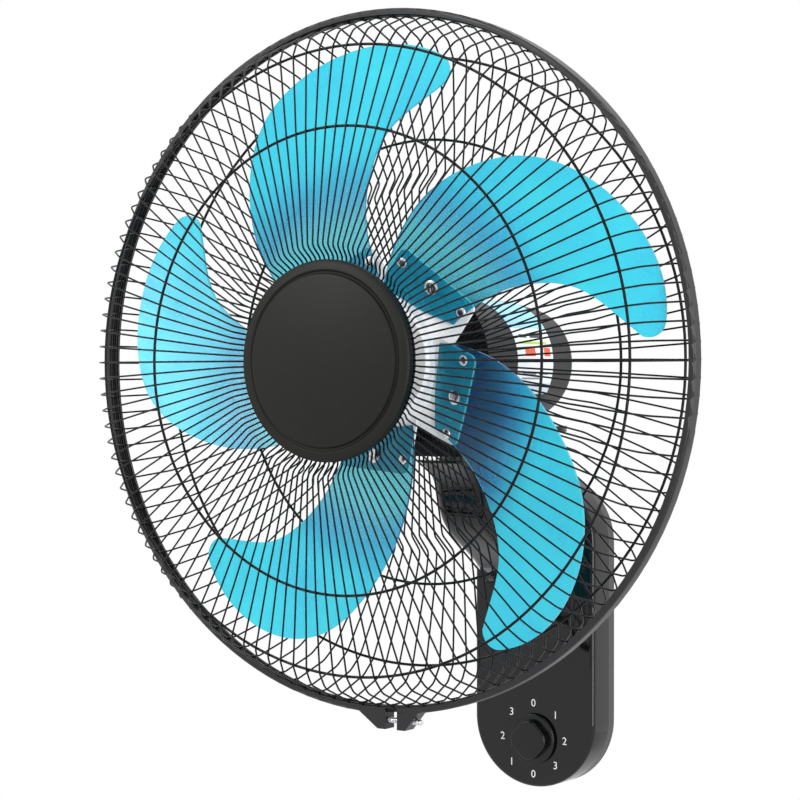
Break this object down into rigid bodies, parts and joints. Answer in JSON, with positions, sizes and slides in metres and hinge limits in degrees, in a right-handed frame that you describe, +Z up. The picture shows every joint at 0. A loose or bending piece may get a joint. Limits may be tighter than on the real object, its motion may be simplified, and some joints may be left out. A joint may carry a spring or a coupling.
{
  "type": "wall mounted fan",
  "caption": "Oscillating wall fan: round wire guard, curved blue blades, motor head on a tilting neck arm, slim upright wall base with a speed knob.",
  "frame": {"origin": "centre of the wall plate's hole pattern, on the wall's face", "axes": "+Z up, -Y out of the wall the way the fan blows, +X to the right seen from the front; the head is straight ahead and level at rest"},
  "size_m": [0.444, 0.2894, 0.52],
  "materials": {
    "black_gloss": "gloss black moulded plastic",
    "grey_satin": "dark grey satin plastic",
    "knob_black": "satin black plastic",
    "hoop_grey": "dark grey satin plastic",
    "cap_grey": "warm dark grey plastic",
    "blade_blue": "clear cyan blue plastic",
    "hub_white": "white plastic",
    "wire_black": "black coated steel wire",
    "motor_black": "black painted steel",
    "motor_grey": "dark grey plastic",
    "label_film": "printed film",
    "steel": "plain steel",
    "zinc": "bright plated steel",
    "copper": "enamelled copper wire",
    "bronze": "sintered bronze",
    "alloy": "cast alloy",
    "nylon": "natural nylon",
    "rubber": "black rubber"
  },
  "bodies": {
    "base": {"wall_plate": "steel", "rear_housing": "grey_satin", "front_cover": "black_gloss", "cover_screws": "zinc", "tilt_clevis": "black_gloss", "clevis_screws": "zinc", "tilt_bolt": "zinc", "tilt_washers": "zinc", "tilt_nut": "zinc", "rotary_switch": "nylon", "switch_nut": "zinc", "run_capacitor": "nylon", "cord_grommet": "rubber"},
    "knob": {"switch_stem": "nylon", "speed_knob": "knob_black"},
    "arm": {"neck_arm": "black_gloss", "pan_bush": "bronze", "pan_grub_screw": "steel", "thrust_washer": "nylon", "link_post": "steel"},
    "head": {"pan_spindle": "steel", "motor_bracket": "motor_black", "bracket_screws": "zinc", "motor_front_cover": "motor_black", "motor_can": "motor_black", "motor_label": "label_film", "stator_core": "steel", "stator_windings": "copper", "shaft_bearings": "bronze", "gearbox_plate": "alloy", "motor_screws": "zinc", "motor_rear_cover": "motor_grey", "rear_cover_screws": "zinc", "front_guard_spokes": "wire_black", "front_guard_rings": "wire_black", "rear_guard_spokes": "wire_black", "rear_guard_rings": "wire_black", "rear_guard_plate": "wire_black", "guard_lock_nut": "knob_black", "guard_hoop": "hoop_grey", "hoop_screw": "zinc", "hoop_nut": "zinc", "front_cap": "cap_grey", "cap_back_plate": "cap_grey", "cap_screws": "zinc"},
    "fan": {"motor_shaft": "steel", "rotor": "steel", "blade_hub": "hub_white", "blade_1": "blade_blue", "blade_2": "blade_blue", "blade_3": "blade_blue", "blade_4": "blade_blue", "blade_5": "blade_blue", "blade_screws": "zinc", "blade_rivets": "zinc", "spinner_nut": "knob_black"},
    "crank": {"worm_wheel": "nylon", "crank_disc": "knob_black"},
    "link": {"drive_link": "zinc", "link_screw": "zinc"}
  },
  "joints": [
    {"name": "tilt", "type": "hinge", "parent": "base", "child": "arm", "pos_m": [0, -0.048, 0.048], "axis": [1, 0, 0], "range_deg": [-8, 20]},
    {"name": "pan", "type": "hinge", "parent": "arm", "child": "head", "pos_m": [0, -0.117, 0.12], "axis": [0, 0, 1], "range_deg": [-36, 36]},
    {"name": "fan_spin", "type": "hinge", "parent": "head", "child": "fan", "pos_m": [0, -0.225, 0.188], "axis": [0, 1, 0], "continuous": true},
    {"name": "crank_turn", "type": "hinge", "parent": "head", "child": "crank", "pos_m": [0.02032, -0.065, 0.165], "axis": [0, 0, 1], "continuous": true},
    {"name": "link_turn", "type": "hinge", "parent": "crank", "child": "link", "pos_m": [0.02789, -0.08243, 0.139], "axis": [0, 0, 1], "continuous": true},
    {"name": "speed_knob_turn", "type": "hinge", "parent": "base", "child": "knob", "pos_m": [0, -0.035, -0.076], "axis": [0, -1, 0], "continuous": true}
  ],
  "couplings": [
    {"joint": "crank_turn", "follows": "fan_spin", "ratio": 0.033333},
    {"joint": "link_turn", "follows": "fan_spin", "ratio": -0.033333}
  ]
}
